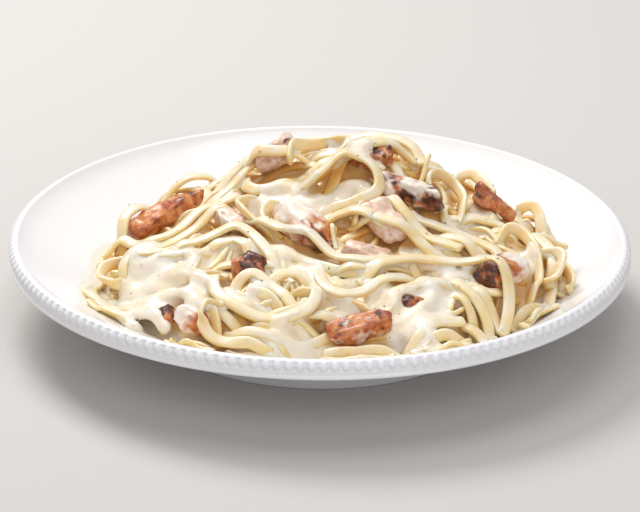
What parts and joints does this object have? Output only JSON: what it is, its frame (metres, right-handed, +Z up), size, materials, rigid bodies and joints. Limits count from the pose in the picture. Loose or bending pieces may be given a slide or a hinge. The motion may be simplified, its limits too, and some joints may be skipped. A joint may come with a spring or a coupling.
{
  "type": "fettuccine alfredo with grilled chicken on a plate",
  "caption": "Round white pasta plate with a beaded rim, holding a heap of cream-sauced fettuccine with pieces of grilled chicken.",
  "frame": {"origin": "on the table, under the middle of the plate's round foot ring", "axes": "+Z up; +X to the diner's right and +Y away from the diner, with -Y the side that faces the viewer"},
  "size_m": [0.3014, 0.3014, 0.0837],
  "materials": {
    "porcelain": "white glazed porcelain",
    "cream_sauce": "wet cream sauce",
    "pasta": "cooked egg pasta coated with cream sauce",
    "chicken": "grilled chicken, seared brown outside and pale pink where cut"
  },
  "bodies": {
    "root": {"plate": "porcelain", "sauce_pool": "cream_sauce", "pasta_heap": "pasta", "chicken_strip_left": "chicken", "chicken_charred_lump": "chicken", "chicken_bit_front_left": "chicken", "chicken_chunk_front_left": "chicken", "chicken_chunk_centre": "chicken", "chicken_chunk_top_left": "chicken", "chicken_piece_top": "chicken", "chicken_strip_top_right": "chicken", "chicken_piece_pale": "chicken", "chicken_piece_right_back": "chicken", "chicken_chunk_right": "chicken", "chicken_piece_front": "chicken", "chicken_bit_front": "chicken", "chicken_piece_pink": "chicken", "chicken_bit_left": "chicken"}
  },
  "joints": []
}
